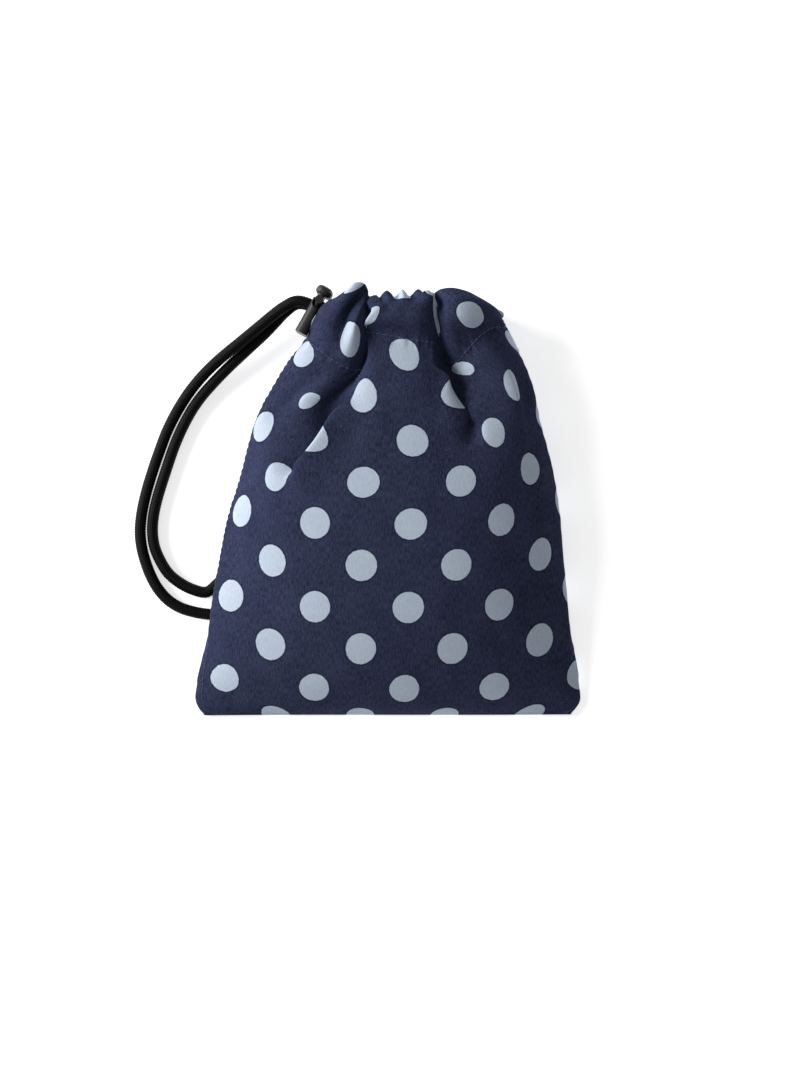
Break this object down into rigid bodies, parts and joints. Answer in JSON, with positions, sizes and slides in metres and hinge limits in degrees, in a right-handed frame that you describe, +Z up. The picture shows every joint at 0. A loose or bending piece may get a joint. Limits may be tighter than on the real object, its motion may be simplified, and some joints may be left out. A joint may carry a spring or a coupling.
{
  "type": "drawstring pouch",
  "caption": "Small soft drawstring pouch of dotted denim, gathered at the mouth by a braided cord with a spring cord lock, lying on its back.",
  "frame": {"origin": "on the surface the pouch lies on, under the middle of the pouch and its cord lock, the free cord not counted", "axes": "+Z up from the surface, +Y towards the mouth, +X to the right as the front is seen from above"},
  "size_m": [0.1774, 0.1706, 0.0301],
  "materials": {
    "denim": "matte woven",
    "cord": "braided",
    "plastic": "satin",
    "spring": "drawn wire"
  },
  "bodies": {
    "pouch": {"front_panel": "denim", "back_panel": "denim", "drawcord_front_run": "cord", "drawcord_back_run": "cord", "drawcord_loop": "cord", "lock_body": "plastic", "lock_spring": "spring"},
    "button": {"lock_button": "plastic"}
  },
  "joints": [
    {"name": "button_press", "type": "slide", "parent": "pouch", "child": "button", "axis": [-0.4879, -0.8729, 0], "range_m": [0, 0.0018], "stiffness_N_per_m": 700, "springref_m": -0.003, "deforming": ["lock_spring"]}
  ]
}
